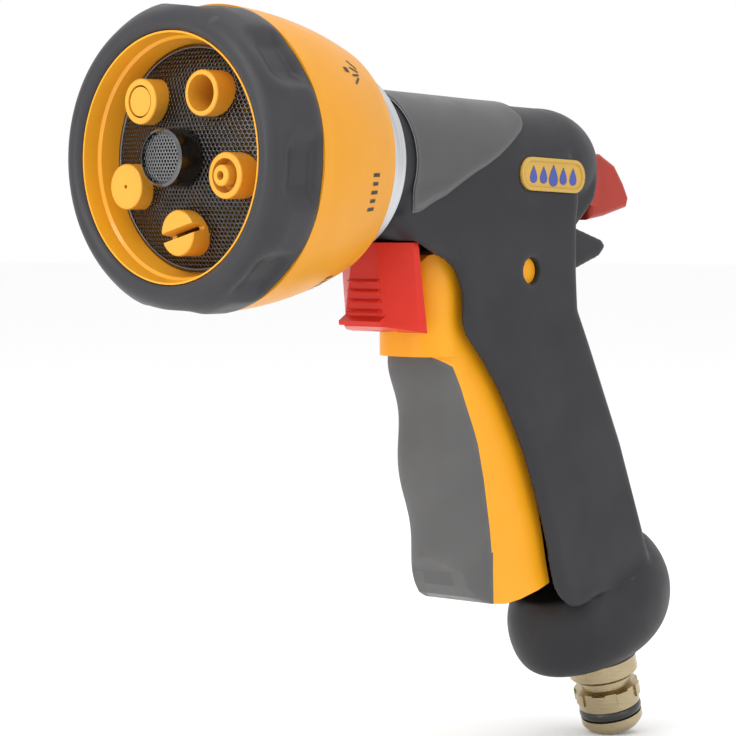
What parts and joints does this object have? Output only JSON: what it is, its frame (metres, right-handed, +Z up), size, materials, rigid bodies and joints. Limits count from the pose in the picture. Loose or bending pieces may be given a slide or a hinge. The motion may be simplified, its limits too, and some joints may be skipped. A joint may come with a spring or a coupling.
{
  "type": "hose spray nozzle",
  "caption": "Hose spray gun with a turning multi-pattern head, front trigger with lock, rear flow lever and a quick-connect hose plug.",
  "frame": {"origin": "middle of the O-ring on the hose plug's axis", "axes": "+X the spray direction along the barrel, +Y the gun's left side, +Z up"},
  "size_m": [0.1745, 0.0686, 0.1801],
  "materials": {
    "casing": "fine-textured dark grey glass-filled nylon",
    "base": "dark grey moulded nylon, slightly lighter than the casing",
    "satin_panel": "satin grey lacquered cover",
    "collar_metal": "satin turned aluminium",
    "inner_nylon": "black glass-filled nylon",
    "steel": "stainless steel",
    "seal_rubber": "black nitrile",
    "acetal": "natural acetal",
    "brass": "turned brass",
    "plated_brass": "nickel-plated brass, warm tint",
    "steel_mesh": "woven stainless mesh thimble",
    "badge": "yellow badge with plain blue drops",
    "bezel_rubber": "soft dark grey rubber with moulded finger dips",
    "shell_yellow": "amber yellow moulded plastic, fine satin",
    "cup_yellow": "amber yellow polished plastic",
    "perforated_steel": "polished perforated stainless steel",
    "nozzle_yellow": "amber yellow acetal nozzles",
    "dark_chrome": "smoked chrome",
    "rose_mesh": "fine stainless mesh",
    "trigger_yellow": "bright yellow semi-gloss plastic",
    "grip_rubber": "mid grey soft grip",
    "lock_red": "red semi-gloss plastic",
    "lever_red": "red semi-gloss plastic"
  },
  "bodies": {
    "body": {"casing_left": "casing", "casing_right": "casing", "barrel_cover": "satin_panel", "neck_collar": "collar_metal", "valve_housing": "inner_nylon", "port_plate": "inner_nylon", "plate_screws": "steel", "port_seal": "seal_rubber", "detent_plunger": "acetal", "detent_spring": "steel", "neck_oring": "seal_rubber", "gland_seal": "seal_rubber", "gland_nut": "brass", "spring_stop": "acetal", "handle_tube": "inner_nylon", "tube_oring": "seal_rubber", "base_cap": "base", "hose_plug": "plated_brass", "plug_oring": "seal_rubber", "plug_washer": "seal_rubber", "inlet_filter": "steel_mesh", "casing_screws": "steel", "badge_left": "badge", "badge_right": "badge", "valve_spring": "steel"},
    "head": {"bezel_grip": "bezel_rubber", "head_shell": "shell_yellow", "face_cup": "cup_yellow", "shower_plate": "perforated_steel", "soaker_nozzle": "nozzle_yellow", "cone_nozzle": "nozzle_yellow", "cone_core": "nozzle_yellow", "mist_nozzle": "nozzle_yellow", "fan_nozzle": "nozzle_yellow", "jet_nozzle": "nozzle_yellow", "rose_housing": "dark_chrome", "rose_screen": "rose_mesh", "turret_disc": "inner_nylon", "turret_retainer": "inner_nylon", "turret_screws": "steel", "head_screws": "steel"},
    "trigger": {"trigger": "trigger_yellow", "trigger_grip": "grip_rubber"},
    "lock": {"lock_slide": "lock_red"},
    "flow_lever": {"flow_lever": "lever_red", "flow_drum": "acetal", "drum_seals": "seal_rubber"},
    "spindle": {"valve_spindle": "brass", "valve_washer": "seal_rubber", "spindle_pin": "steel"}
  },
  "joints": [
    {"name": "head_turn", "type": "hinge", "parent": "body", "child": "head", "pos_m": [0.122, 0, 0.1392], "axis": [1, 0, 0], "continuous": true},
    {"name": "trigger_squeeze", "type": "hinge", "parent": "body", "child": "trigger", "pos_m": [0.051, 0, 0.1136], "axis": [0, 1, 0], "range_deg": [0, 9], "stiffness_Nm_per_rad": 3, "springref_deg": -4.58},
    {"name": "lock_travel", "type": "slide", "parent": "trigger", "child": "lock", "axis": [0, 0, -1], "range_m": [0, 0.004]},
    {"name": "flow_turn", "type": "hinge", "parent": "body", "child": "flow_lever", "pos_m": [0.03, 0, 0.1342], "axis": [0, -1, 0], "range_deg": [0, 14]},
    {"name": "spindle_push", "type": "slide", "parent": "body", "child": "spindle", "axis": [1, 0, 0], "range_m": [0, 0.0045], "deforming": ["valve_spring"]}
  ],
  "couplings": [
    {"joint": "spindle_push", "follows": "trigger_squeeze", "m_per_rad": 0.0256}
  ]
}
